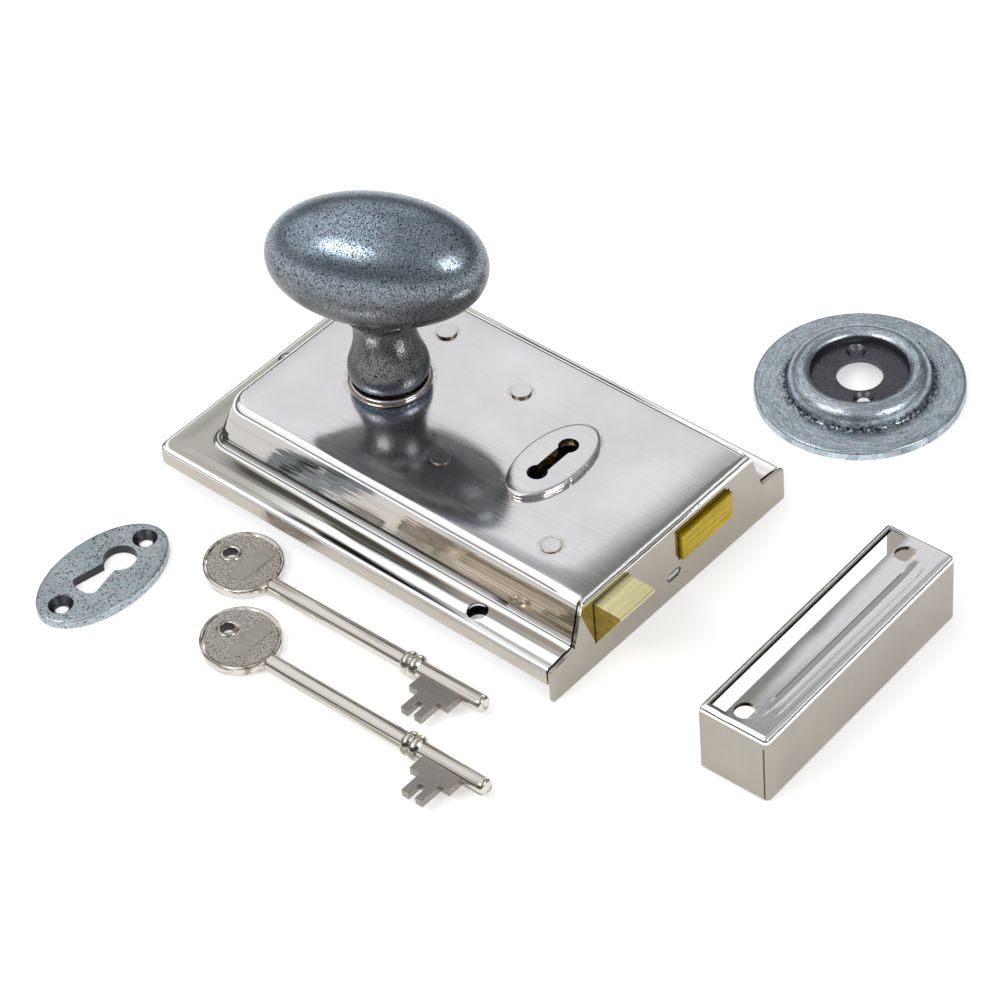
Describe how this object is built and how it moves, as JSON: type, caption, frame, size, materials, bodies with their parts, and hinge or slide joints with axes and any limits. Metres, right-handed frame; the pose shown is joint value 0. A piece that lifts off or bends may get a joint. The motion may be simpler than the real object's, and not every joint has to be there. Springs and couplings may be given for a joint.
{
  "type": "rim box lock",
  "caption": "Rim box lock set: folded nickel case with an oval knob, sprung latch and deadbolt through the forend, with box keep, rose, escutcheon and keys.",
  "frame": {"origin": "centre of the case on the door plane", "axes": "+X towards the forend and the bolts, +Y across the case on the deadbolt side, +Z out of the door towards the knob"},
  "size_m": [0.2211, 0.248, 0.0917],
  "materials": {
    "case_nickel": "satin nickel sheet",
    "keep_nickel": "polished nickel sheet",
    "plate_steel": "plain steel",
    "spring_steel": "spring steel",
    "dark_steel": "blackened",
    "bolt_brass": "brushed brass",
    "lever_brass": "plain brass",
    "pewter_iron": "tumbled pewter",
    "key_nickel": "nickel plated"
  },
  "bodies": {
    "lock_case": {"case": "case_nickel", "forend": "case_nickel", "back_plate": "plate_steel", "keyhole_plate": "case_nickel", "lever_pivot_post": "case_nickel", "bolt_guide_post": "case_nickel", "spacer_post": "case_nickel", "latch_guide_post": "case_nickel", "cap_screws": "plate_steel", "neck_collar": "case_nickel", "lever_washers": "plate_steel", "latch_spring": "spring_steel", "spring_rivet": "plate_steel"},
    "knob_body": {"knob": "pewter_iron", "spindle": "plate_steel", "follower": "bolt_brass", "grub_screw": "dark_steel"},
    "latch_body": {"latch_bolt": "bolt_brass", "latch_bar": "plate_steel", "latch_rivets": "plate_steel"},
    "deadbolt_body": {"deadbolt": "bolt_brass", "deadbolt_tail": "plate_steel", "deadbolt_rivets": "plate_steel", "bolt_stump": "plate_steel"},
    "lever_1_body": {"lever_1": "lever_brass", "lever_spring_1": "spring_steel"},
    "lever_2_body": {"lever_2": "lever_brass", "lever_spring_2": "spring_steel"},
    "lever_3_body": {"lever_3": "lever_brass", "lever_spring_3": "spring_steel"},
    "rose_body": {"rose": "pewter_iron"},
    "escutcheon_body": {"escutcheon": "pewter_iron"},
    "key_1_body": {"key_1": "key_nickel"},
    "key_2_body": {"key_2": "key_nickel"},
    "keep_body": {"keep": "keep_nickel"}
  },
  "joints": [
    {"name": "knob_turn", "type": "hinge", "parent": "lock_case", "child": "knob_body", "pos_m": [-0.0277, 0, 0], "axis": [0, 0, 1], "range_deg": [-40, 0]},
    {"name": "latch_slide", "type": "slide", "parent": "lock_case", "child": "latch_body", "axis": [1, 0, 0], "range_m": [-0.0097, 0], "stiffness_N_per_m": 300, "springref_m": 0.006, "deforming": ["latch_spring"]},
    {"name": "deadbolt_slide", "type": "slide", "parent": "lock_case", "child": "deadbolt_body", "axis": [1, 0, 0], "range_m": [0, 0.013]},
    {"name": "lever_1_lift", "type": "hinge", "parent": "lock_case", "child": "lever_1_body", "pos_m": [-0.0275, 0.0245, 0.015], "axis": [0, 0, 1], "range_deg": [0, 3.1], "deforming": ["lever_spring_1"]},
    {"name": "lever_2_lift", "type": "hinge", "parent": "lock_case", "child": "lever_2_body", "pos_m": [-0.0275, 0.0245, 0.015], "axis": [0, 0, 1], "range_deg": [0, 3.4], "deforming": ["lever_spring_2"]},
    {"name": "lever_3_lift", "type": "hinge", "parent": "lock_case", "child": "lever_3_body", "pos_m": [-0.0275, 0.0245, 0.015], "axis": [0, 0, 1], "range_deg": [0, 3.2], "deforming": ["lever_spring_3"]},
    {"name": "rose_lift", "type": "slide", "parent": "lock_case", "child": "rose_body", "axis": [0, 0, 1], "range_m": [0, 0.05]},
    {"name": "escutcheon_lift", "type": "slide", "parent": "lock_case", "child": "escutcheon_body", "axis": [0, 0, 1], "range_m": [0, 0.05]},
    {"name": "key_1_lift", "type": "slide", "parent": "lock_case", "child": "key_1_body", "axis": [0, 0, 1], "range_m": [0, 0.05]},
    {"name": "key_2_lift", "type": "slide", "parent": "lock_case", "child": "key_2_body", "axis": [0, 0, 1], "range_m": [0, 0.05]},
    {"name": "keep_lift", "type": "slide", "parent": "lock_case", "child": "keep_body", "axis": [0, 0, 1], "range_m": [0, 0.05]}
  ],
  "couplings": [
    {"joint": "latch_slide", "follows": "knob_turn", "m_per_rad": 0.013894},
    {"joint": "lever_1_lift", "follows": "deadbolt_slide", "rad_per_m": 4.1619},
    {"joint": "lever_2_lift", "follows": "deadbolt_slide", "rad_per_m": 4.5647},
    {"joint": "lever_3_lift", "follows": "deadbolt_slide", "rad_per_m": 4.2961}
  ]
}
